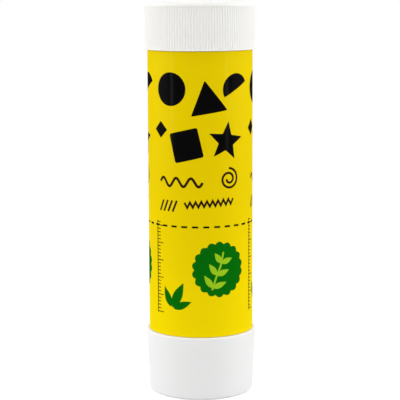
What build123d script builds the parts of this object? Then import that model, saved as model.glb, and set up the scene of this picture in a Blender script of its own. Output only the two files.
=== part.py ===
"""Twist-up glue stick with a ribbed screw cap, in millimetres.

The stick stands on its turning base: z runs up from the surface that it stands on, and the Z axis is
the axis of the barrel. The front of the stick faces -Y.
"""

from math import cos, pi, radians, sin
import os

from build123d import *

# Barrel: everything round it or in it is built outwards or inwards from its bore
barrel_bore_radius = 13.3
barrel_wall = 1.6
barrel_body_length = 80.75
neck_wall = 1.0
neck_length = 10.85
neck_edge_chamfer = 0.3
spigot_wall = 0.8
spigot_skirt_wall = 1.5
spigot_chamfer = 0.5
floor_depth = 4.15
floor_thickness = 1.6
guide_rib_count = 4
guide_rib_width = 0.8
guide_rib_depth = 0.35
snap_bead_height = 0.35
snap_bead_width = 1.6
snap_bead_rise = 3.0

# Label: a film sleeve with a butt seam at the back
label_thickness = 0.1
label_margin = 0.03
label_seam_gap = 0.25

# Turning base
base_height = 18.35
base_skirt_wall = 1.55
base_taper = 0.9
base_edge_radius = 0.9
base_rim_chamfer = 0.2
base_floor_thickness = 1.6
base_recess_depth = 0.8
base_ring_width = 1.9
hub_wall = 2.2
web_count = 6
web_thickness = 1.0
web_height = 3.5

# Spindle
screw_lead = 6.0
screw_core_radius = 3.6
screw_ridge_depth = 0.9
ridge_root_width = 2.6
ridge_crest_width = 1.6
screw_lead_in = 0.3
screw_run_out = 0.8
screw_tip_chamfer = 0.8
journal_radius = 5.0
collar_width = 2.5
collar_thickness = 1.4
peg_across_flats = 7.6

# Carrier
carrier_height = 15.5
carrier_skirt_length = 4.0
carrier_web_thickness = 1.8
cup_wall = 0.8
nut_length = 10.0
nut_wall = 1.7
fin_count = 6
fin_thickness = 1.0
fin_depth = 1.5
fin_drop = 2.0

# Glue
glue_mouth_depth = 4.75
glue_over_spindle = 9.25
glue_edge_chamfer = 0.7

# Cap and its sealing disc
cap_wall = 0.75
cap_roof_thickness = 1.45
cap_draft = 0.2
cap_edge_radius = 1.1
cap_mouth_chamfer = 0.3
cap_thread_room = 0.6
rib_count = 126
rib_depth = 0.25
rib_crest_share = 0.3
groove_middle_share = 0.5
rib_step = 0.04
rib_lip = 0.4
rib_top_margin = 0.2
liner_thickness = 1.0
liner_rim = 0.4
plug_wall = 0.9
plug_length = 2.0
liner_bead_height = 0.35
liner_bead_width = 0.5

# Clearances
rim_clearance = 0.1
label_clearance = 0.02
skirt_clearance = 0.2
snap_clearance = 0.15
floor_end_clearance = 1.0
journal_clearance = 0.08
collar_clearance = 0.1
hub_clearance = 0.3
peg_clearance = 0.05
peg_end_clearance = 0.4
web_clearance = 0.4
piston_clearance = 0.2
guide_clearance = 0.15
guide_end_clearance = 0.5
carrier_rest_clearance = 0.5
thread_clearance = 0.3
nut_land = 0.2
glue_guide_clearance = 0.1
glue_seat_clearance = 0.02
glue_bore_clearance = 0.3
glue_bore_end_clearance = 0.8
seal_clearance = 0.1
liner_clearance = 0.1
plug_clearance = 0.2
cut_overrun = 1.0
fuse_overlap = 0.3
full_turn = 360
full_turn_radians = 2 * pi
hexagon = 6

# Radii that follow
barrel_radius = barrel_bore_radius + barrel_wall
neck_radius = barrel_bore_radius + neck_wall
spigot_radius = barrel_bore_radius + spigot_wall
spigot_bore_radius = spigot_radius - spigot_skirt_wall
guide_rib_radius = barrel_bore_radius - guide_rib_depth
label_inner_radius = barrel_radius + label_clearance
label_radius = label_inner_radius + label_thickness
skirt_bore_radius = spigot_radius + skirt_clearance
base_rim_radius = skirt_bore_radius + base_skirt_wall
base_foot_radius = base_rim_radius - base_taper
base_ring_radius = base_foot_radius - base_edge_radius - base_ring_width
screw_crest_radius = screw_core_radius + screw_ridge_depth
journal_bore_radius = journal_radius + journal_clearance
collar_radius = journal_radius + collar_width
peg_radius = peg_across_flats / 2 / cos(radians(full_turn / hexagon / 2))
socket_radius = peg_radius + peg_clearance / cos(radians(full_turn / hexagon / 2))
hub_radius = socket_radius + hub_wall
nut_bore_radius = screw_crest_radius + thread_clearance
nut_radius = nut_bore_radius + nut_wall
carrier_radius = barrel_bore_radius - piston_clearance
cup_radius = carrier_radius - cup_wall
fin_radius = cup_radius - fin_depth
notch_radius = guide_rib_radius - guide_clearance
glue_radius = guide_rib_radius - glue_guide_clearance
glue_plug_radius = cup_radius - glue_seat_clearance
glue_nut_radius = nut_radius + glue_seat_clearance
glue_bore_radius = screw_crest_radius + glue_bore_clearance
cap_bore_radius = neck_radius + cap_thread_room
cap_rim_radius = cap_bore_radius + cap_wall + rib_depth + rib_step
liner_radius = neck_radius + liner_rim
liner_bead_radius = cap_bore_radius - liner_bead_height
plug_radius = barrel_bore_radius - plug_clearance

# Heights that follow
base_floor_top = base_recess_depth + base_floor_thickness
step_z = base_height + rim_clearance
shoulder_z = step_z + barrel_body_length
neck_top = shoulder_z + neck_length
floor_top = step_z - floor_depth
floor_bottom = floor_top - floor_thickness
spigot_bottom = base_floor_top + floor_end_clearance
snap_bottom = spigot_bottom + snap_bead_rise
snap_top = snap_bottom + snap_bead_width
label_bottom = step_z + label_margin
label_top = shoulder_z - label_margin
hub_top = floor_bottom - hub_clearance
peg_bottom = base_floor_top + peg_end_clearance
journal_bottom = hub_top + peg_clearance
collar_bottom = floor_top + collar_clearance
collar_top = collar_bottom + collar_thickness
carrier_bottom = collar_top + carrier_rest_clearance
carrier_web_bottom = carrier_bottom + carrier_skirt_length
cup_floor = carrier_web_bottom + carrier_web_thickness
cup_rim = carrier_bottom + carrier_height
fin_top = cup_rim - fin_drop
nut_top = carrier_bottom + nut_length
glue_top = neck_top - glue_mouth_depth
spindle_top = glue_top - glue_over_spindle
glue_bore_top = spindle_top + glue_bore_end_clearance
liner_bottom = neck_top + seal_clearance
liner_top = liner_bottom + liner_thickness
plug_bottom = liner_bottom - plug_length
cap_rim = shoulder_z + rim_clearance
cap_roof = liner_top + liner_clearance
cap_top = cap_roof + cap_roof_thickness
liner_bead_top = liner_bottom - liner_clearance
rib_bottom = cap_rim + rib_lip
rib_top = cap_top - cap_edge_radius - rib_top_margin

# Screw thread: the nut's ridge fills the groove between two turns of the spindle's, less the clearance
flank_slope = (ridge_root_width - ridge_crest_width) / 2 / screw_ridge_depth
nut_crest_half = (screw_lead - ridge_root_width) / 2 - thread_clearance * (1 - flank_slope)
nut_root_half = nut_crest_half + screw_ridge_depth * flank_slope
flank_sink = fuse_overlap * flank_slope
nut_ridge_start = carrier_bottom + nut_land + nut_root_half + flank_sink
nut_ridge_end = nut_top - nut_land - nut_root_half - flank_sink
screw_start = collar_top + screw_lead_in + ridge_root_width / 2
screw_end = spindle_top - screw_run_out - ridge_root_width / 2
screw_start_turn = (nut_ridge_start + screw_lead / 2 - screw_start) / screw_lead


def turned(outline, mode=Mode.ADD):
    """Turns a closed outline of (radius, height) points about the Z axis."""
    with BuildSketch(Plane.XZ) as half:
        with BuildLine():
            Polyline(*outline, close=True)
        make_face()
    revolve(half.sketch, axis=Axis.Z, mode=mode)


def bars(inner_radius, outer_radius, width, count, bottom, top, start=0, mode=Mode.ADD):
    """Upright bars of one width, spread round the Z axis between two radii and two heights."""
    with BuildSketch(Plane.XY.offset(bottom)) as sections:
        with PolarLocations(inner_radius, count, start):
            Rectangle(outer_radius - inner_radius, width, align=(Align.MIN, Align.CENTER))
    extrude(sections.sketch, amount=top - bottom, mode=mode)


def helical_ridge(radius, start_z, end_z, start_angle, section):
    """A left-handed ridge on a helix of the screw's lead, with a section of (outward, upward) points."""
    spiral = Helix(screw_lead, end_z - start_z, radius, center=(0, 0, start_z), lefthand=True)
    path = spiral.rotate(Axis.Z, start_angle)
    outward = (cos(radians(start_angle)), sin(radians(start_angle)), 0)
    onward = (sin(radians(start_angle)), -cos(radians(start_angle)), 0)
    with BuildSketch(Plane(path @ 0, x_dir=outward, z_dir=onward)) as ridge:
        with BuildLine():
            Polyline(*section, close=True)
        make_face()
    sweep(ridge.sketch, path=path, is_frenet=True)


def cap_radius_at(height):
    """The outer radius of the cap's lip and top band, which narrow upwards by the draft."""
    return cap_rim_radius - cap_draft * (height - cap_rim) / (cap_top - cap_rim)


def ribbed_outline(crest_radius):
    """Corners of the ribs' cross-section: two at each flat crest, and one at the groove beyond it."""
    corners = []
    for rib in range(rib_count):
        for turn, radius in (
            (-rib_crest_share / 2, crest_radius),
            (rib_crest_share / 2, crest_radius),
            (groove_middle_share, crest_radius - rib_depth),
        ):
            angle = full_turn_radians * (rib + turn) / rib_count
            corners.append((radius * cos(angle), radius * sin(angle)))
    return corners


# Barrel: tube, neck for the cap, floor with the spindle's bearing, and the spigot that the base turns on
with BuildPart() as barrel:
    turned([
        (spigot_bore_radius, spigot_bottom),
        (spigot_radius - spigot_chamfer, spigot_bottom),
        (spigot_radius, spigot_bottom + spigot_chamfer),
        (spigot_radius, snap_bottom),
        (spigot_radius + snap_bead_height, (snap_bottom + snap_top) / 2),
        (spigot_radius, snap_top),
        (spigot_radius, step_z),
        (barrel_radius, step_z),
        (barrel_radius, shoulder_z),
        (neck_radius, shoulder_z),
        (neck_radius, neck_top),
        (barrel_bore_radius, neck_top),
        (barrel_bore_radius, floor_top),
        (journal_bore_radius, floor_top),
        (journal_bore_radius, floor_bottom),
        (spigot_bore_radius, floor_bottom),
    ])
    chamfer(barrel.edges().group_by(Axis.Z)[-1], neck_edge_chamfer)
    bars(guide_rib_radius, barrel_bore_radius + fuse_overlap, guide_rib_width, guide_rib_count,
         floor_top, plug_bottom - guide_end_clearance)

# Printed label: a thin sleeve round the barrel, with its seam at the back
with BuildPart() as printed_label:
    turned([
        (label_inner_radius, label_bottom),
        (label_radius, label_bottom),
        (label_radius, label_top),
        (label_inner_radius, label_top),
    ])
    bars(0, label_radius + cut_overrun, label_seam_gap, 1,
         label_bottom, label_top, full_turn / 4, Mode.SUBTRACT)

# Turning base: a cup that snaps over the spigot, with a hub that drives the spindle
with BuildPart() as turning_base:
    turned([
        (0, base_recess_depth),
        (base_ring_radius, base_recess_depth),
        (base_ring_radius, 0),
        (base_foot_radius, 0),
        (base_rim_radius, base_height),
        (skirt_bore_radius, base_height),
        (skirt_bore_radius, snap_top + snap_clearance),
        (skirt_bore_radius + snap_bead_height, (snap_bottom + snap_top) / 2),
        (skirt_bore_radius, snap_bottom - snap_clearance),
        (skirt_bore_radius, base_floor_top),
        (0, base_floor_top),
    ])
    fillet(turning_base.edges().group_by(Axis.Z)[0].sort_by(SortBy.RADIUS)[-1], base_edge_radius)
    chamfer(turning_base.edges().group_by(Axis.Z)[-1].sort_by(SortBy.RADIUS)[-1], base_rim_chamfer)
    with BuildSketch(Plane.XY.offset(base_floor_top)):
        Circle(hub_radius)
        RegularPolygon(socket_radius, hexagon, mode=Mode.SUBTRACT)
    extrude(amount=hub_top - base_floor_top)
    bars(hub_radius - fuse_overlap, spigot_bore_radius - web_clearance, web_thickness, web_count,
         base_floor_top, base_floor_top + web_height)

# Spindle: a lead screw on a collar and journal, over a hexagonal peg that sits in the base's hub
with BuildPart() as spindle:
    turned([
        (0, journal_bottom),
        (journal_radius, journal_bottom),
        (journal_radius, collar_bottom),
        (collar_radius, collar_bottom),
        (collar_radius, collar_top),
        (screw_core_radius, collar_top),
        (screw_core_radius, spindle_top - screw_tip_chamfer),
        (screw_core_radius - screw_tip_chamfer, spindle_top),
        (0, spindle_top),
    ])
    with BuildSketch(Plane.XY.offset(peg_bottom)):
        RegularPolygon(peg_radius, hexagon)
    extrude(amount=journal_bottom - peg_bottom)
    helical_ridge(screw_core_radius, screw_start, screw_end, screw_start_turn * full_turn, [
        (-fuse_overlap, -ridge_root_width / 2 - flank_sink),
        (screw_ridge_depth, -ridge_crest_width / 2),
        (screw_ridge_depth, ridge_crest_width / 2),
        (-fuse_overlap, ridge_root_width / 2 + flank_sink),
    ])

# Carrier: a cup that grips the foot of the glue, guided by the barrel's ribs, with the nut in its middle
with BuildPart() as carrier:
    turned([
        (nut_bore_radius, carrier_bottom),
        (nut_radius, carrier_bottom),
        (nut_radius, carrier_web_bottom),
        (cup_radius, carrier_web_bottom),
        (cup_radius, carrier_bottom),
        (carrier_radius, carrier_bottom),
        (carrier_radius, cup_rim),
        (cup_radius, cup_rim),
        (cup_radius, cup_floor),
        (nut_radius, cup_floor),
        (nut_radius, nut_top),
        (nut_bore_radius, nut_top),
    ])
    bars(fin_radius, cup_radius + cup_wall / 2, fin_thickness, fin_count,
         cup_floor, fin_top, full_turn / guide_rib_count / 2)
    bars(notch_radius, carrier_radius + cut_overrun, guide_rib_width + 2 * guide_clearance,
         guide_rib_count, carrier_bottom, cup_rim, mode=Mode.SUBTRACT)
    helical_ridge(nut_bore_radius, nut_ridge_start, nut_ridge_end, 0, [
        (fuse_overlap, -nut_root_half - flank_sink),
        (-screw_ridge_depth, -nut_crest_half),
        (-screw_ridge_depth, nut_crest_half),
        (fuse_overlap, nut_root_half + flank_sink),
    ])

# Glue: cast into the carrier's cup and round its fins, with a blind bore for the spindle
with BuildPart() as glue_stick:
    turned([
        (0, glue_top),
        (glue_radius - glue_edge_chamfer, glue_top),
        (glue_radius, glue_top - glue_edge_chamfer),
        (glue_radius, cup_rim + glue_seat_clearance),
        (glue_plug_radius, cup_rim + glue_seat_clearance),
        (glue_plug_radius, cup_floor + glue_seat_clearance),
        (glue_nut_radius, cup_floor + glue_seat_clearance),
        (glue_nut_radius, nut_top + glue_seat_clearance),
        (glue_bore_radius, nut_top + glue_seat_clearance),
        (glue_bore_radius, glue_bore_top),
        (0, glue_bore_top),
    ])
    bars(fin_radius - glue_seat_clearance, cup_radius + cut_overrun,
         fin_thickness + 2 * glue_seat_clearance, fin_count, cup_floor,
         fin_top + glue_seat_clearance, full_turn / guide_rib_count / 2, Mode.SUBTRACT)

# Cap: a shell with a fine ribbed grip between a plain lip and a rounded top, and a bead that holds the disc
with BuildPart() as cap:
    for height in (rib_bottom, rib_top):
        with BuildSketch(Plane.XY.offset(height)):
            with BuildLine():
                Polyline(*ribbed_outline(cap_radius_at(height) - rib_step), close=True)
            make_face()
    loft(ruled=True)
    turned([
        (0, cap_rim),
        (cap_radius_at(cap_rim), cap_rim),
        (cap_radius_at(rib_bottom), rib_bottom),
        (0, rib_bottom),
    ])
    turned([
        (0, rib_top),
        (cap_radius_at(rib_top), rib_top),
        (cap_radius_at(cap_top), cap_top),
        (0, cap_top),
    ])
    fillet(cap.edges().group_by(Axis.Z)[-1], cap_edge_radius)
    turned([
        (0, cap_rim - cut_overrun),
        (cap_bore_radius, cap_rim - cut_overrun),
        (cap_bore_radius, liner_bead_top - liner_bead_width),
        (liner_bead_radius, liner_bead_top - liner_bead_width / 2),
        (liner_bead_radius, liner_bead_top),
        (cap_bore_radius, liner_bead_top),
        (cap_bore_radius, cap_roof),
        (0, cap_roof),
    ], Mode.SUBTRACT)
    chamfer(cap.edges().group_by(Axis.Z)[0].sort_by(SortBy.RADIUS)[0], cap_mouth_chamfer)

# Sealing disc: it closes the neck, and its plug ring reaches into the bore
with BuildPart() as cap_liner:
    turned([
        (0, liner_bottom),
        (plug_radius - plug_wall, liner_bottom),
        (plug_radius - plug_wall, plug_bottom),
        (plug_radius - plug_wall / 2, plug_bottom),
        (plug_radius, plug_bottom + plug_wall / 2),
        (plug_radius, liner_bottom),
        (liner_radius, liner_bottom),
        (liner_radius, liner_top),
        (0, liner_top),
    ])

barrel.part.label = "barrel"
printed_label.part.label = "printed_label"
turning_base.part.label = "turning_base"
spindle.part.label = "spindle"
carrier.part.label = "carrier"
glue_stick.part.label = "glue_stick"
cap.part.label = "cap"
cap_liner.part.label = "cap_liner"

os.makedirs("parts", exist_ok=True)
export_step(barrel.part, "parts/barrel.step")
export_step(printed_label.part, "parts/printed_label.step")
export_step(turning_base.part, "parts/turning_base.step")
export_step(spindle.part, "parts/spindle.step")
export_step(carrier.part, "parts/carrier.step")
export_step(glue_stick.part, "parts/glue_stick.step")
export_step(cap.part, "parts/cap.step")
export_step(cap_liner.part, "parts/cap_liner.step")
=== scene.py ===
from math import ceil, cos, pi, radians, sin, tan

import bmesh
import bpy
from mathutils import Matrix, Vector
from mathutils.geometry import delaunay_2d_cdt


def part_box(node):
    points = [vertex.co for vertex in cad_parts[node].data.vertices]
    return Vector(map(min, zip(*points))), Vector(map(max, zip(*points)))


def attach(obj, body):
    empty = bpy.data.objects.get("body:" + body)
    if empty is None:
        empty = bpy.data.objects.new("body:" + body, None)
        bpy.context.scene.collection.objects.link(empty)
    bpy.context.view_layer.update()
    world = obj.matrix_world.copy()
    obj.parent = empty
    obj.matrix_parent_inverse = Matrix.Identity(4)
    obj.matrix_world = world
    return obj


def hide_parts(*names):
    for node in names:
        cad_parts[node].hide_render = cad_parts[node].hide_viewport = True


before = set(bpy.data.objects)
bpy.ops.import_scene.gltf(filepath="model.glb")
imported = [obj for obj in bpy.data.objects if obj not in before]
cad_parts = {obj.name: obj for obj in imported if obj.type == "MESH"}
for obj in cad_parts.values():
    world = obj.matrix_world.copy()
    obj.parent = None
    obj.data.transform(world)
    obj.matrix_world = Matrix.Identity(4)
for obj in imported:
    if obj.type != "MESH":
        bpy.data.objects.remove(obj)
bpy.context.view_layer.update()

mm = 0.001
full_circle = 2 * pi

# Sizes that follow from the frame
cap_low, cap_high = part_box("cap")
barrel_low, barrel_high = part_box("barrel")
label_low, label_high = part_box("printed_label")
base_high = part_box("turning_base")[1]
glue_low, glue_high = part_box("glue_stick")
liner_low, liner_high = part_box("cap_liner")
carrier_low, carrier_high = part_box("carrier")
spindle_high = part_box("spindle")[1]
label_radius = label_high.x
barrel_radius = barrel_high.x

# Camera, fitted to the rims of the cap and the base in the photograph; angles in degrees
frame_pixels = 400
focal_pixels = 1500.1
sensor_width = 36
camera_left = 0.16 * mm
camera_distance = 429.5 * mm
camera_height = 119.6 * mm
camera_pitch = 8.47
camera_roll = -0.24

# Roundness: points round the axis and in each rounded corner, and the sharp corners' least angle
smooth_segments = 192
arc_steps = 6
support_share = 0.35
sharp_angle = 32
axis_radius = 1e-6

# Screw thread of the neck and of the cap
thread_lead = 3 * mm
thread_turns = 1.75
thread_height = 0.28 * mm
thread_root = 1.1 * mm
thread_crest = 0.45 * mm
thread_fade = 0.12

# How far a piece's added parts sink into it
sink = 0.3 * mm
floor_sink = 0.1 * mm


def rounded(corners):
    """An outline from (radius, height, rounding) corners, with each rounded corner turned into an arc.

    A support point beside each arc keeps the shading of the flats flat.
    """
    points = []
    for index, (radius, height, rounding) in enumerate(corners):
        here = Vector((radius, height))
        if not rounding:
            points.append(here)
            continue
        back = (Vector(corners[index - 1][:2]) - here).normalized()
        on = (Vector(corners[(index + 1) % len(corners)][:2]) - here).normalized()
        half = back.angle(on) / 2
        reach = rounding / tan(half)
        centre = here + (back + on).normalized() * rounding / sin(half)
        first = here + back * reach - centre
        last = here + on * reach - centre
        turn = first.angle_signed(last)
        points.append(here + back * reach * (1 + support_share))
        for step in range(arc_steps + 1):
            points.append(centre + Matrix.Rotation(-turn * step / arc_steps, 2) @ first)
        points.append(here + on * reach * (1 + support_share))
    return points


def lathe(outline, closed=False, segments=smooth_segments, move=None):
    """Vertices and faces of an outline turned about the Z axis.

    Where move is given, move(angle, radius, height) is the new radius.
    """
    vertices, rows = [], []
    for radius, height in outline:
        row = []
        for segment in range(segments if radius > axis_radius else 1):
            angle = full_circle * segment / segments
            reach = move(angle, radius, height) if move else radius
            row.append(len(vertices))
            vertices.append((reach * cos(angle), reach * sin(angle), height))
        rows.append(row)
    pairs = list(zip(rows, rows[1:])) + ([(rows[-1], rows[0])] if closed else [])
    faces = []
    for low, high in pairs:
        for segment in range(max(len(low), len(high))):
            corners = [row[at % len(row)] for row, at in
                       ((low, segment), (low, segment + 1), (high, segment + 1), (high, segment))]
            faces.append(list(dict.fromkeys(corners)))
    return vertices, faces


def ridge(radius, height, start, start_angle=0):
    """Vertices and faces of a right-handed screw ridge that fades at both ends.

    A negative height points inwards.
    """
    foot, flank = -0.25 * height, 0.7 * height
    root, middle, crest = thread_root / 2, (thread_root + thread_crest) / 4, thread_crest / 2
    section = [(foot, -root), (flank, -middle), (height, -crest),
               (height, crest), (flank, middle), (foot, root)]
    steps = ceil(smooth_segments * thread_turns)
    vertices, faces = [], []
    for step in range(steps + 1):
        share = step / steps
        fade = min(1, share / thread_fade, (1 - share) / thread_fade)
        fade = fade * fade * (3 - 2 * fade)
        angle = start_angle + full_circle * thread_turns * share
        rise = start + thread_lead * thread_turns * share
        for out, up in section:
            reach = radius + (out if out * height < 0 else out * fade)
            vertices.append((reach * cos(angle), reach * sin(angle), rise + up))
    size = len(section)
    for step in range(steps):
        for side in range(size):
            a, b = step * size + side, step * size + (side + 1) % size
            faces.append([a, b, b + size, a + size])
    faces.append(list(range(size)))
    faces.append(list(range(steps * size, steps * size + size)))
    return vertices, faces


def bar(inner, outer, width, angle, low, high):
    """Vertices and faces of an upright bar that reaches from one radius to another."""
    vertices = []
    for height in (low, high):
        for along, across in ((inner, -1), (outer, -1), (outer, 1), (inner, 1)):
            point = Matrix.Rotation(angle, 2) @ Vector((along, across * width / 2))
            vertices.append((point.x, point.y, height))
    faces = [[0, 1, 2, 3], [4, 5, 6, 7]]
    faces += [[side, (side + 1) % 4, (side + 1) % 4 + 4, side + 4] for side in range(4)]
    return vertices, faces


def piece(name, parts, material, body, replaced):
    """Makes one object from its parts, with smooth faces and sharp corners, and puts it on its body."""
    vertices, faces = [], []
    for part_vertices, part_faces in parts:
        faces += [[index + len(vertices) for index in face] for face in part_faces]
        vertices += part_vertices
    mesh = bpy.data.meshes.new(name)
    mesh.from_pydata(vertices, [], faces)
    build = bmesh.new()
    build.from_mesh(mesh)
    bmesh.ops.recalc_face_normals(build, faces=build.faces)
    build.to_mesh(mesh)
    build.free()
    return dressed(name, mesh, [material], body, replaced)


def dressed(name, mesh, materials, body, replaced):
    """Links a finished mesh as an object of its body and hides the node it replaces."""
    for material in materials:
        mesh.materials.append(material)
    mesh.shade_smooth()
    mesh.set_sharp_from_angle(angle=radians(sharp_angle))
    made = bpy.data.objects.new(name, mesh)
    bpy.context.scene.collection.objects.link(made)
    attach(made, body)
    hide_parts(replaced)
    return made


# Materials
class Nodes:
    """A material's node tree, with short ways to add and join nodes."""

    def __init__(self, name):
        self.material = bpy.data.materials.new(name)
        self.material.use_nodes = True
        self.tree = self.material.node_tree
        self.shader = self.tree.nodes["Principled BSDF"]
        self.output = self.tree.nodes["Material Output"]
        self.place = self.add("ShaderNodeTexCoord").outputs["Object"]

    def add(self, kind, **values):
        node = self.tree.nodes.new(kind)
        for name, value in values.items():
            setattr(node, name, value)
        return node

    def link(self, source, target):
        self.tree.links.new(source, target)

    def noise(self, scale, detail=3, stretch=(1, 1, 1)):
        """A noise of so many waves a metre, which may be stretched along an axis."""
        mapping = self.add("ShaderNodeMapping")
        mapping.inputs["Scale"].default_value = stretch
        noise = self.add("ShaderNodeTexNoise")
        noise.inputs["Scale"].default_value = scale
        noise.inputs["Detail"].default_value = detail
        self.link(self.place, mapping.inputs["Vector"])
        self.link(mapping.outputs["Vector"], noise.inputs["Vector"])
        return noise.outputs["Fac"]

    def height(self):
        """The height on the object."""
        split = self.add("ShaderNodeSeparateXYZ")
        self.link(self.place, split.inputs[0])
        return split.outputs["Z"]

    def ramp(self, source, low, high, start=0.3, end=0.7):
        """Maps the middle of a noise to a range of values."""
        ramp = self.add("ShaderNodeMapRange")
        for name, value in (("From Min", start), ("From Max", end), ("To Min", low), ("To Max", high)):
            ramp.inputs[name].default_value = value
        self.link(source, ramp.inputs["Value"])
        return ramp.outputs["Result"]

    def blend(self, factor, first, second):
        """Mixes two colours by a factor between 0 and 1."""
        mix = self.add("ShaderNodeMix", data_type="RGBA")
        self.link(factor, mix.inputs["Factor"])
        mix.inputs["A"].default_value = (*first, 1)
        mix.inputs["B"].default_value = (*second, 1)
        return mix.outputs["Result"]

    def bump(self, source, depth, after=None):
        """Raises the surface by a noise of the given depth, on top of an earlier bump."""
        bump = self.add("ShaderNodeBump")
        bump.inputs["Distance"].default_value = depth
        bump.inputs["Strength"].default_value = 1
        self.link(source, bump.inputs["Height"])
        if after:
            self.link(after, bump.inputs["Normal"])
        return bump.outputs["Normal"]


def linear(red, green, blue):
    """A colour written in screen values from 0 to 255, as the linear values that the nodes hold."""
    return tuple((value / 255 / 12.92) if value < 11 else ((value / 255 + 0.055) / 1.055) ** 2.4
                 for value in (red, green, blue))


# Finishes: depths of the grains and waves, and the share of the film's height where its painted shade is
# deepest
grain_depth = 0.004 * mm
drawing_depth = 0.004 * mm
glue_depth = 0.012 * mm
skin_depth = 0.05 * mm
pore_depth = 0.01 * mm
shade_share = 0.62


def plastic(name, colour, other, rough, wave_depth=0.02 * mm):
    """Moulded polypropylene: a fine spark-eroded grain, slow waves of the mould and a cloudy gloss."""
    nodes = Nodes(name)
    shader = nodes.shader
    clouds, gloss = nodes.noise(60), nodes.noise(180, 4)
    swell, grain = nodes.noise(90, 1), nodes.noise(5200, 2)
    nodes.link(nodes.blend(nodes.ramp(clouds, 0, 1), colour, other), shader.inputs["Base Color"])
    nodes.link(nodes.ramp(gloss, rough - 0.05, rough + 0.06), shader.inputs["Roughness"])
    waves = nodes.bump(swell, wave_depth)
    nodes.link(nodes.bump(grain, grain_depth, after=waves), shader.inputs["Normal"])
    shader.inputs["IOR"].default_value = 1.49
    shader.inputs["Specular IOR Level"].default_value = 0.2
    shader.inputs["Subsurface Weight"].default_value = 0.12
    shader.inputs["Subsurface Radius"].default_value = (1, 0.95, 0.85)
    shader.inputs["Subsurface Scale"].default_value = 0.6 * mm
    return nodes.material


def film(name, colour, other, rough):
    """Printed film on the tube: smooth ink, faint upright drawing lines and the slight unevenness of glue.

    The ink's other colour, a little deeper, is painted shade: the ink turns to it upwards until a share of
    the film's height, standing in for the weaker light on the upper front, and random patches lean towards
    it too.
    """
    nodes = Nodes(name)
    shader = nodes.shader
    patches, gloss = nodes.noise(45), nodes.noise(220, 3)
    drawing, glue = nodes.noise(700, 1, (1, 1, 0.02)), nodes.noise(160, 2)
    # Painted shade: the ink deepens with height towards its other colour, added to a random tone in patches
    shade_and_patches = nodes.add("ShaderNodeMath", operation="ADD", use_clamp=True)
    nodes.link(nodes.ramp(nodes.height(), 0, 1, label_low.z, label_high.z * shade_share), shade_and_patches.inputs[0])
    nodes.link(nodes.ramp(patches, -0.1, 0.1), shade_and_patches.inputs[1])
    nodes.link(nodes.blend(shade_and_patches.outputs["Value"], colour, other), shader.inputs["Base Color"])
    nodes.link(nodes.ramp(gloss, rough - 0.04, rough + 0.06), shader.inputs["Roughness"])
    lines = nodes.bump(drawing, drawing_depth)
    nodes.link(nodes.bump(glue, glue_depth, after=lines), shader.inputs["Normal"])
    shader.inputs["Specular IOR Level"].default_value = 0
    shader.inputs["Coat Weight"].default_value = 0.025
    shader.inputs["Coat IOR"].default_value = 1.8
    shader.inputs["Coat Roughness"].default_value = 0.16
    return nodes.material


def wax(name, colour, other):
    """Set glue: a waxy body that light sinks into, with pores and the cloudy streaks of casting."""
    nodes = Nodes(name)
    shader = nodes.shader
    streaks, gloss = nodes.noise(70, 4, (1, 1, 0.4)), nodes.noise(300, 4)
    folds, pores = nodes.noise(240, 4), nodes.noise(2600, 2)
    nodes.link(nodes.blend(nodes.ramp(streaks, 0, 1), colour, other), shader.inputs["Base Color"])
    nodes.link(nodes.ramp(gloss, 0.32, 0.5), shader.inputs["Roughness"])
    skin = nodes.bump(folds, skin_depth)
    nodes.link(nodes.bump(pores, pore_depth, after=skin), shader.inputs["Normal"])
    shader.inputs["IOR"].default_value = 1.45
    shader.inputs["Subsurface Weight"].default_value = 0.7
    shader.inputs["Subsurface Radius"].default_value = (1, 0.92, 0.8)
    shader.inputs["Subsurface Scale"].default_value = 3 * mm
    return nodes.material


cap_white = plastic("cap_white", linear(245, 244, 242), linear(243, 242, 239), 0.48, 0.003 * mm)
base_white = plastic("base_white", linear(244, 244, 244), linear(242, 243, 243), 0.45)
inner_white = plastic("inner_white", linear(240, 240, 238), linear(237, 237, 235), 0.4)
disc_white = plastic("disc_white", linear(236, 238, 236), linear(232, 234, 233), 0.5)
glue_wax = wax("glue_wax", linear(240, 240, 232), linear(236, 236, 226))
# Each ink's second colour is the painted shade towards the top of the film, and also the tone of its random
# patches
inks = {
    "yellow": film("ink_yellow", linear(249, 221, 0), linear(235, 206, 0), 0.3),
    "black": film("ink_black", linear(2, 1, 2), linear(4, 3, 4), 0.28),
    "brown": film("ink_brown", linear(46, 20, 8), linear(42, 18, 8), 0.3),
    "green": film("ink_green", linear(0, 108, 4), linear(0, 104, 6), 0.3),
    "lime": film("ink_lime", linear(158, 204, 34), linear(150, 198, 30), 0.3),
}


# Cap: ribs between a plain lip and a top band, a screw thread and a bead that holds the sealing disc
cap_radius = cap_high.x
cap_rim = cap_low.z
cap_top = cap_high.z
cap_draft = 0.2 * mm
cap_bore = 14.9 * mm
cap_roof = cap_top - 1.45 * mm
cap_edge = 1.1 * mm
cap_mouth = 0.3 * mm
cap_thread_rise = 1.6 * mm
rib_count = 126
rib_samples = 8
rib_step = 0.04 * mm
rib_depth = 0.21 * mm
rib_fullness = 0.8
rib_low = cap_rim + 0.15 * mm
rib_high = cap_top - cap_edge - 0.05 * mm
rib_fade = 0.35 * mm
rib_fade_rows = 5
rib_levels = (0.25, 0.5, 0.75)
gate_radius = 1.3 * mm
gate_depth = 0.18 * mm
bead_radius = 14.55 * mm
bead_low = liner_low.z + 1.5 * mm
bead_top = liner_low.z + 1.9 * mm


def cap_side(height):
    """The radius of the cap's plain side, which narrows upwards by the draft."""
    return cap_radius - cap_draft * (height - cap_rim) / (cap_top - cap_rim)


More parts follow.
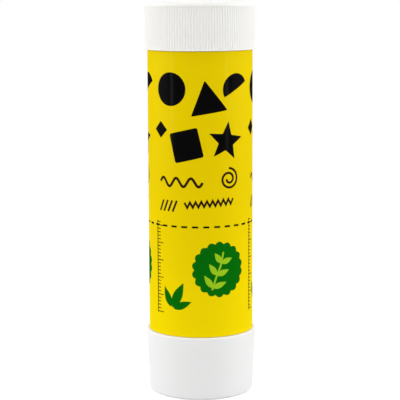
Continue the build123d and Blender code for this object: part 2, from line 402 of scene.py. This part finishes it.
def ribbed(angle, radius, height):
    """Cuts the rounded grooves of the ribs into the cap's side."""
    if radius < cap_bore or not rib_low < height < rib_high:
        return radius
    ends = min(1, (height - rib_low) / rib_fade, (rib_high - height) / rib_fade)
    ends = sin(ends * pi / 2)
    groove = (0.5 - 0.5 * cos(angle * rib_count)) ** rib_fullness
    return radius - ends * (rib_step + rib_depth * groove)


def make_cap():
    fades = [rib_fade * step / rib_fade_rows for step in range(rib_fade_rows + 1)]
    rows = [rib_low + fade for fade in fades]
    rows += [rib_low + (rib_high - rib_low) * level for level in rib_levels]
    rows += [rib_high - fade for fade in reversed(fades)]
    moat_floor = cap_top - gate_depth * 1.4
    upper = rounded([
        (0, cap_top - gate_depth, 0),
        (gate_radius * 0.45, cap_top - gate_depth, 0),
        (gate_radius * 0.55, moat_floor, 0),
        (gate_radius, moat_floor, 0),
        (gate_radius * 1.25, cap_top, 0.15 * mm),
        (cap_side(cap_top), cap_top, cap_edge),
        (cap_side(rib_high), rib_high, 0),
    ])[:-2]
    side = [Vector((cap_side(height), height)) for height in reversed(rows)]
    lower = rounded([
        (cap_side(rib_low), rib_low, 0),
        (cap_radius, cap_rim, 0.12 * mm),
        (cap_bore + cap_mouth, cap_rim, 0.08 * mm),
        (cap_bore, cap_rim + cap_mouth, 0.1 * mm),
        (cap_bore, bead_low - 0.25 * mm, 0.1 * mm),
        (bead_radius, bead_low, 0),
        (bead_radius, bead_low + 0.2 * mm, 0),
        (cap_bore, bead_top, 0),
        (cap_bore, cap_roof, 0.2 * mm),
        (0, cap_roof, 0),
    ])[1:]
    shell = lathe(upper + side + lower, segments=rib_count * rib_samples, move=ribbed)
    screw = ridge(cap_bore, -thread_height, cap_rim + cap_thread_rise)
    return piece("ribbed_cap", [shell, screw], cap_white, "cap", "cap")


# Sealing disc: a flat disc with a plug ring
disc_thickness = 1 * mm
plug_radius = 13.1 * mm
plug_wall = 0.9 * mm


def make_liner():
    radius, top, low = liner_high.x, liner_high.z, liner_low.z
    disc_low = top - disc_thickness
    outline = rounded([
        (0, disc_low, 0),
        (plug_radius - plug_wall, disc_low, 0.15 * mm),
        (plug_radius - plug_wall, low, 0.2 * mm),
        (plug_radius - plug_wall / 2, low, 0.15 * mm),
        (plug_radius, low + plug_wall / 2, 0.2 * mm),
        (plug_radius, disc_low, 0.1 * mm),
        (radius, disc_low, 0.12 * mm),
        (radius, top, 0.12 * mm),
        (0, top, 0),
    ])
    return piece("sealing_disc", [lathe(outline)], disc_white, "cap_liner", "cap_liner")


# Barrel: the tube under the label, its threaded neck, the floor with the screw's bearing and the spigot
neck_radius = 14.3 * mm
neck_length = 10.85 * mm
neck_thread_rise = 2.6 * mm
shoulder = barrel_high.z - neck_length
barrel_step = base_high.z + 0.1 * mm
barrel_bore = 13.3 * mm
barrel_floor_top = barrel_step - 4.15 * mm
barrel_floor_low = barrel_step - 5.75 * mm
bearing_radius = 5.08 * mm
spigot_radius = 14.1 * mm
spigot_bore = 12.6 * mm
snap_height = 0.35 * mm
guide_count = 4
guide_depth = 0.35 * mm
guide_width = 0.8 * mm
guide_top = liner_low.z - 0.5 * mm


def make_barrel():
    low, top = barrel_low.z, barrel_high.z
    snap_low, snap_width = low + 3 * mm, 1.6 * mm
    outline = rounded([
        (spigot_bore, low, 0.15 * mm),
        (spigot_radius - 0.5 * mm, low, 0.1 * mm),
        (spigot_radius, low + 0.5 * mm, 0.2 * mm),
        (spigot_radius, snap_low, 0.2 * mm),
        (spigot_radius + snap_height, snap_low + snap_width / 2, 0.3 * mm),
        (spigot_radius, snap_low + snap_width, 0.2 * mm),
        (spigot_radius, barrel_step, 0.05 * mm),
        (barrel_radius, barrel_step, 0.08 * mm),
        (barrel_radius, shoulder, 0.15 * mm),
        (neck_radius, shoulder, 0.2 * mm),
        (neck_radius, top, 0.3 * mm),
        (barrel_bore, top, 0.3 * mm),
        (barrel_bore, barrel_floor_top, 0.3 * mm),
        (bearing_radius, barrel_floor_top, 0.1 * mm),
        (bearing_radius, barrel_floor_low, 0.1 * mm),
        (spigot_bore, barrel_floor_low, 0.3 * mm),
    ])
    screw = ridge(neck_radius, thread_height, shoulder + neck_thread_rise, pi)
    guides = [bar(barrel_bore - guide_depth, barrel_bore + sink, guide_width,
                  full_circle * index / guide_count, barrel_floor_top - floor_sink, guide_top)
              for index in range(guide_count)]
    return piece("barrel_tube", [lathe(outline, closed=True), screw] + guides, inner_white,
                 "barrel", "barrel")


# Turning base: a smooth cup with a rounded foot, a standing ring and a hub for the screw
base_radius = base_high.x
base_top = base_high.z
base_bore = 14.3 * mm
base_floor = 2.4 * mm
foot_radius = base_radius - 0.9 * mm
foot_rounding = 0.9 * mm
ring_bore = 12.15 * mm
ring_height = 0.8 * mm
base_gate_radius = 1.1 * mm
base_gate_height = 0.25 * mm
hub_bore = 4.46 * mm
hub_radius = 6.64 * mm
hub_top = base_top - 5.95 * mm
web_count = 6
web_reach = 12.2 * mm
web_thickness = 1 * mm
web_height = 3.5 * mm


def make_base():
    groove_low, groove_width = barrel_low.z + 2.85 * mm, 1.9 * mm
    outline = rounded([
        (0, ring_height - base_gate_height, 0),
        (base_gate_radius, ring_height - base_gate_height, 0.06 * mm),
        (base_gate_radius, ring_height, 0.06 * mm),
        (ring_bore, ring_height, 0.3 * mm),
        (ring_bore, 0, 0.25 * mm),
        (foot_radius, 0, foot_rounding),
        (base_radius, base_top, 0.35 * mm),
        (base_bore, base_top, 0.1 * mm),
        (base_bore, groove_low + groove_width, 0.2 * mm),
        (base_bore + snap_height, groove_low + groove_width / 2, 0.3 * mm),
        (base_bore, groove_low, 0.2 * mm),
        (base_bore, base_floor, 0.4 * mm),
        (0, base_floor, 0),
    ])
    low = base_floor - floor_sink
    hub = rounded([
        (hub_bore, low, 0),
        (hub_radius, low, 0),
        (hub_radius, hub_top, 0.15 * mm),
        (hub_bore, hub_top, 0.15 * mm),
    ])
    webs = [bar(hub_radius - sink, web_reach, web_thickness,
                full_circle * index / web_count, low, base_floor + web_height)
            for index in range(web_count)]
    return piece("turning_cup", [lathe(outline), lathe(hub, closed=True)] + webs, base_white,
                 "turning_base", "turning_base")


# Glue: a cast stick with a soft edge, a faintly sunken end and a blind bore for the screw
glue_radius = glue_high.x
glue_plug = 12.28 * mm
glue_bore = 4.8 * mm
glue_bore_top = spindle_high.z + 0.8 * mm
nut_pocket = 6.52 * mm
nut_pocket_top = carrier_low.z + 10.02 * mm
cup_rim = carrier_high.z + 0.02 * mm


def make_glue():
    top, low = glue_high.z, glue_low.z
    outline = rounded([
        (0, top, 0),
        (glue_radius * 0.55, top - 0.12 * mm, 2 * mm),
        (glue_radius - 0.2 * mm, top - 0.5 * mm, 0.7 * mm),
        (glue_radius, top - 1.6 * mm, 1 * mm),
        (glue_radius, cup_rim, 0),
        (glue_plug, cup_rim, 0),
        (glue_plug, low, 0),
        (nut_pocket, low, 0),
        (nut_pocket, nut_pocket_top, 0),
        (glue_bore, nut_pocket_top, 0),
        (glue_bore, glue_bore_top, 0.5 * mm),
        (0, glue_bore_top, 0),
    ])
    return piece("glue_core", [lathe(outline)], glue_wax, "carrier", "glue_stick")


# Label: a film whose print is cut into it while it is flat, before it is rolled round the barrel
repeats = 3
dash_count = 10
label_thickness = 0.1 * mm

# Sizes on the flat film, in millimetres of arc from the front and of height from its lower edge
period = full_circle * label_radius / mm / repeats
label_height = (label_high.z - label_low.z) / mm
seam_gap = 0.25
column_width = 0.55
rule_bottom = 6.5
rule_length = 27

# How close two points of the cut film may lie before they are one, and the cut that keeps its faces valid
same_point = 1e-5
valid_faces = 4


def regular(centre, radius, sides, turn=0, inner=None):
    """Corners of a regular polygon, or of a star where an inner radius is given."""
    count = sides * 2 if inner else sides
    points = []
    for index in range(count):
        angle = full_circle * index / count + turn
        reach = inner if inner and index % 2 else radius
        points.append((centre[0] + reach * sin(angle), centre[1] + reach * cos(angle)))
    return points


def scalloped(centre, radius, scallops, depth, steps=8):
    """A round outline whose edge swells in small waves."""
    count = scallops * steps
    points = []
    for index in range(count):
        angle = full_circle * index / count
        reach = radius - depth * (1 - abs(sin(angle * scallops / 2)))
        points.append((centre[0] + reach * cos(angle), centre[1] + reach * sin(angle)))
    return points


def softened(corners, rounding, steps=4):
    """A polygon with its corners rounded."""
    points = []
    for index, corner in enumerate(corners):
        here = Vector(corner)
        back = Vector(corners[index - 1]) - here
        on = Vector(corners[(index + 1) % len(corners)]) - here
        first = here + back.normalized() * rounding
        last = here + on.normalized() * rounding
        for step in range(steps + 1):
            share = step / steps
            points.append(tuple(first.lerp(here, share).lerp(here.lerp(last, share), share)))
    return points


def half_disc(centre, radius, turn, steps=20):
    """The corners of a half disc whose flat side faces the given turn."""
    angles = [turn + pi * step / steps for step in range(steps + 1)]
    return [(centre[0] + radius * cos(angle), centre[1] + radius * sin(angle)) for angle in angles]


def leaf(base, length, width, turn, steps=12, lean=0.8):
    """A pointed leaf that grows from its base in the given direction and is widest near the base."""
    points = []
    for side in (1, -1):
        for step in range(steps):
            share = step / steps if side > 0 else 1 - step / steps
            along, across = length * share, side * width / 2 * sin(pi * share ** lean)
            points.append((base[0] + along * cos(turn) - across * sin(turn),
                           base[1] + along * sin(turn) + across * cos(turn)))
    return points


def stroke(points, width, least_spread=0.35):
    """The outline of a line of the given width that follows the points.

    The least spread keeps the corners of a sharp bend short.
    """
    line = [Vector(point) for point in points]
    left, right = [], []
    for index, here in enumerate(line):
        back = (here - line[index - 1]).normalized() if index else None
        on = (line[index + 1] - here).normalized() if index + 1 < len(line) else None
        along = ((back or on) + (on or back)).normalized()
        across = Vector((-along.y, along.x))
        ahead = on or back
        spread = width / 2 / max(least_spread, across.dot(Vector((-ahead.y, ahead.x))))
        left.append(tuple(here + across * spread))
        right.append(tuple(here - across * spread))
    return left + right[::-1]


def wave(start, length, height, waves, steps=16):
    """Points of a wavy line."""
    count = int(waves * steps)
    return [(start[0] + length * step / count, start[1] + height / 2 * sin(full_circle * step / steps))
            for step in range(count + 1)]


def zigzag(start, length, height, teeth, rise=0):
    """Points of a zigzag line that may climb."""
    return [(start[0] + length * step / teeth, start[1] + rise * step / teeth + height / 2 * (-1) ** step)
            for step in range(teeth + 1)]


def spiral(centre, radius, turns, steps=20):
    """Points of a spiral that opens evenly."""
    count = int(turns * steps)
    return [(centre[0] + radius * step / count * cos(full_circle * step / steps),
             centre[1] + radius * step / count * sin(full_circle * step / steps))
            for step in range(steps // 2, count + 1)]


def badge():
    """A round badge with a scalloped edge and a sprig of paired leaves."""
    stem = [(3.2, 13.6), (4.4, 17.2), (5.8, 20.6), (6.6, 24.4)]
    shapes = [(scalloped((5.4, 19.4), 8.0, 18, 0.7), "green"), (stroke(stem, 0.55), "lime")]
    for pair, (across, up) in enumerate(stem[:3]):
        for side in (-1, 1):
            turn = radians(72) + side * radians(52)
            shapes.append((leaf((across + 0.2, up + 0.6), 4.4 - 0.4 * pair, 1.7, turn), "lime"))
    return shapes


def rule():
    """An upright rule with a tick at each millimetre, of which every fifth is long."""
    left = -14.2
    shapes = [(stroke([(left, rule_bottom - 0.4), (left, rule_bottom + rule_length - 0.6)], 0.35), "black")]
    for index in range(rule_length):
        up = rule_bottom + index
        length = 2.4 if index % 5 == 0 else 1.3
        shapes.append((stroke([(left, up), (left + length, up)], 0.26), "black"))
    return shapes


def dashed_line():
    """A dashed line right round the film."""
    shapes = []
    for index in range(dash_count):
        left = period * (index / dash_count - 0.5) + 0.7
        shapes.append((stroke([(left, 31.6), (left + 1.75, 31.6)], 0.55), "black"))
    return shapes


def motifs():
    """The shapes of one repeat, each with its ink, in the order in which they are printed."""
    shapes = [
        (regular((-8.8, 70.2), 4.7, 48), "black"),
        (softened(regular((2.2, 66.6), 6.2, 3, radians(-9)), 0.5), "black"),
        (half_disc((11.0, 70.0), 4.5, radians(28)), "black"),
        (softened(regular((-4.1, 54.6), 6.0, 4, radians(32)), 0.7), "black"),
        (softened(regular((7.6, 55.6), 5.7, 5, radians(7), 2.45), 0.3), "black"),
        (softened(regular((-12.4, 58.8), 2.4, 4), 0.2), "black"),
        (stroke(wave((-12.6, 44.2), 13.2, 2.4, 3), 0.75), "brown"),
        (stroke(zigzag((-4.6, 37.8), 14.4, 1.5, 18, 0.9), 0.6), "brown"),
        (stroke(spiral((8.4, 45.0), 3.1, 2.25), 0.65), "brown"),
    ]
    for left in (-12.8, -11.3, -9.8, -8.3):
        shapes.append((stroke([(left, 35.8), (left + 1.4, 39.0)], 0.6), "brown"))
    shapes += badge()
    for base, turn, length in (((-8.6, 8.2), 64, 8.2), ((-8.2, 8.0), 22, 6.0), ((-9.0, 8.4), 112, 6.2)):
        shapes.append((leaf(base, length, length * 0.36, radians(turn)), "green"))
    return shapes + rule() + dashed_line()


def make_label():
    """Cuts the flat film along its shapes and along upright lines, then rolls it round the barrel."""
    half = period * repeats / 2 - seam_gap / 2
    names = list(inks)
    vertices, edges, faces, face_inks = [], [], [], []

    def outline(points, ink):
        """Adds a shape to those that the film is cut along."""
        clockwise = sum(x * points[index - 1][1] - points[index - 1][0] * y
                        for index, (x, y) in enumerate(points))
        if clockwise > 0:
            points = points[::-1]
        faces.append(list(range(len(vertices), len(vertices) + len(points))))
        vertices.extend(Vector(point) for point in points)
        face_inks.append(names.index(ink))

    outline([(-half, 0), (half, 0), (half, label_height), (-half, label_height)], "yellow")
    columns = ceil(2 * half / column_width)
    for column in range(1, columns):
        across = -half + 2 * half * column / columns
        edges.append((len(vertices), len(vertices) + 1))
        vertices += [Vector((across, 0)), Vector((across, label_height))]
    for shape, ink in motifs():
        for repeat in range(repeats):
            shift = period * (repeat - (repeats - 1) / 2)
            outline([(across + shift, up) for across, up in shape], ink)
    points, _, cells, _, _, sources = delaunay_2d_cdt(
        vertices, edges, faces, valid_faces, same_point, True)
    mesh = bpy.data.meshes.new("film_sleeve")
    rolled = []
    for across, up in points:
        angle = across * mm / label_radius
        rolled.append((label_radius * sin(angle), -label_radius * cos(angle), label_low.z + up * mm))
    mesh.from_pydata(rolled, [], cells)
    for polygon, source in zip(mesh.polygons, sources):
        polygon.material_index = face_inks[max(source)] if source else 0
    sleeve = dressed("film_sleeve", mesh, list(inks.values()), "barrel", "printed_label")
    wall = sleeve.modifiers.new("thickness", "SOLIDIFY")
    wall.thickness = label_thickness
    wall.offset = -1
    graph = bpy.context.evaluated_depsgraph_get()
    solid = bpy.data.meshes.new_from_object(sleeve.evaluated_get(graph))
    sleeve.modifiers.clear()
    sleeve.data = solid
    solid.set_sharp_from_angle(angle=radians(sharp_angle))
    return sleeve


make_cap()
make_liner()
make_barrel()
make_base()
make_glue()
make_label()

# The carrier and the spindle keep the meshes of their solids, with a finish
for node in ("carrier", "spindle"):
    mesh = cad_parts[node].data
    mesh.materials.clear()
    mesh.materials.append(inner_white)


# Floor, light and camera
floor_reach = 3
floor_drop = 0.02 * mm
floor_white = (0.68, 0.68, 0.68)
floor_seen_white = (0.2, 0.2, 0.2)
floor_glow = 0.92
world_level = 0.43

# Area lamps: azimuth and elevation in degrees, then distance, width and height in metres, and power in watts
lamps = {
    "left_wall": (-96, 14, 0.6, 0.5, 0.7, 1.8),
    "right_wall": (96, 14, 0.6, 0.5, 0.7, 1.8),
    "left_strip": (-64, 6, 0.6, 0.05, 0.6, 0.75),
    "right_strip": (60, 6, 0.6, 0.05, 0.6, 0.75),
    "roof": (0, 84, 0.6, 0.6, 0.6, 1.3),
    "front": (0, 22, 0.8, 0.7, 0.35, 0.9),
}


def seen_directly(nodes):
    """1 where the camera sees the surface, also in a gloss or through glass, and 0 for other rays."""
    path = nodes.tree.nodes.new("ShaderNodeLightPath")
    largest = path.outputs["Is Camera Ray"]
    for name in ("Is Glossy Ray", "Is Transmission Ray"):
        node = nodes.tree.nodes.new("ShaderNodeMath")
        node.operation = "MAXIMUM"
        nodes.tree.links.new(largest, node.inputs[0])
        nodes.tree.links.new(path.outputs[name], node.inputs[1])
        largest = node.outputs["Value"]
    return largest


def make_floor():
    """A pale floor that the camera sees as white, save for the object's faint shadow."""
    mesh = bpy.data.meshes.new("floor")
    corners = [(-floor_reach, -floor_reach), (floor_reach, -floor_reach),
               (floor_reach, floor_reach), (-floor_reach, floor_reach)]
    mesh.from_pydata([(x, y, -floor_drop) for x, y in corners], [], [[0, 1, 2, 3]])
    floor = bpy.data.objects.new("floor", mesh)
    bpy.context.scene.collection.objects.link(floor)
    nodes = Nodes("floor_white")
    nodes.tree.nodes.remove(nodes.shader)
    seen = seen_directly(nodes)
    diffuse = nodes.add("ShaderNodeBsdfDiffuse")
    nodes.link(nodes.blend(seen, floor_white, floor_seen_white), diffuse.inputs["Color"])
    glow = nodes.add("ShaderNodeEmission")
    nodes.link(nodes.ramp(seen, 0, floor_glow, 0, 1), glow.inputs["Strength"])
    total = nodes.add("ShaderNodeAddShader")
    nodes.link(diffuse.outputs["BSDF"], total.inputs[0])
    nodes.link(glow.outputs["Emission"], total.inputs[1])
    nodes.link(total.outputs["Shader"], nodes.output.inputs["Surface"])
    mesh.materials.append(nodes.material)


class WorldNodes(Nodes):
    """The world's node tree, with the same short ways to add and join nodes."""

    def __init__(self, world):
        world.use_nodes = True
        self.tree = world.node_tree
        self.shader = self.tree.nodes["Background"]


def make_world(level):
    """White where the camera sees it, and an even light of the given level for the object."""
    world = bpy.data.worlds.new("studio")
    bpy.context.scene.world = world
    nodes = WorldNodes(world)
    nodes.shader.inputs["Color"].default_value = (1, 1, 1, 1)
    nodes.link(nodes.ramp(seen_directly(nodes), level, 1, 0, 1), nodes.shader.inputs["Strength"])


def softbox(name, azimuth, elevation, distance, width, height, power):
    """An area lamp that faces the middle of the stick; azimuth 0 is the camera's side, 90 the right."""
    lamp = bpy.data.lights.new(name, "AREA")
    lamp.shape = "RECTANGLE"
    lamp.size = width
    lamp.size_y = height
    lamp.energy = power
    box = bpy.data.objects.new(name, lamp)
    middle = Vector((0, 0, cap_top / 2))
    way = Vector((sin(radians(azimuth)) * cos(radians(elevation)),
                  -cos(radians(azimuth)) * cos(radians(elevation)), sin(radians(elevation))))
    box.location = middle + way * distance
    box.rotation_euler = way.to_track_quat("Z", "Y").to_euler()
    bpy.context.scene.collection.objects.link(box)


def make_camera():
    camera = bpy.data.cameras.new("camera")
    camera.sensor_width = sensor_width
    camera.lens = focal_pixels / frame_pixels * sensor_width
    camera.clip_start = 0.01
    eye = bpy.data.objects.new("camera", camera)
    eye.location = (-camera_left, -camera_distance, camera_height)
    look = (Matrix.Rotation(radians(90 - camera_pitch), 3, "X")
            @ Matrix.Rotation(radians(camera_roll), 3, "Z"))
    eye.rotation_euler = look.to_euler()
    bpy.context.scene.collection.objects.link(eye)
    bpy.context.scene.camera = eye


make_floor()
make_world(world_level)
for lamp, values in lamps.items():
    softbox(lamp, *values)
make_camera()
bpy.context.scene.view_settings.view_transform = "Standard"
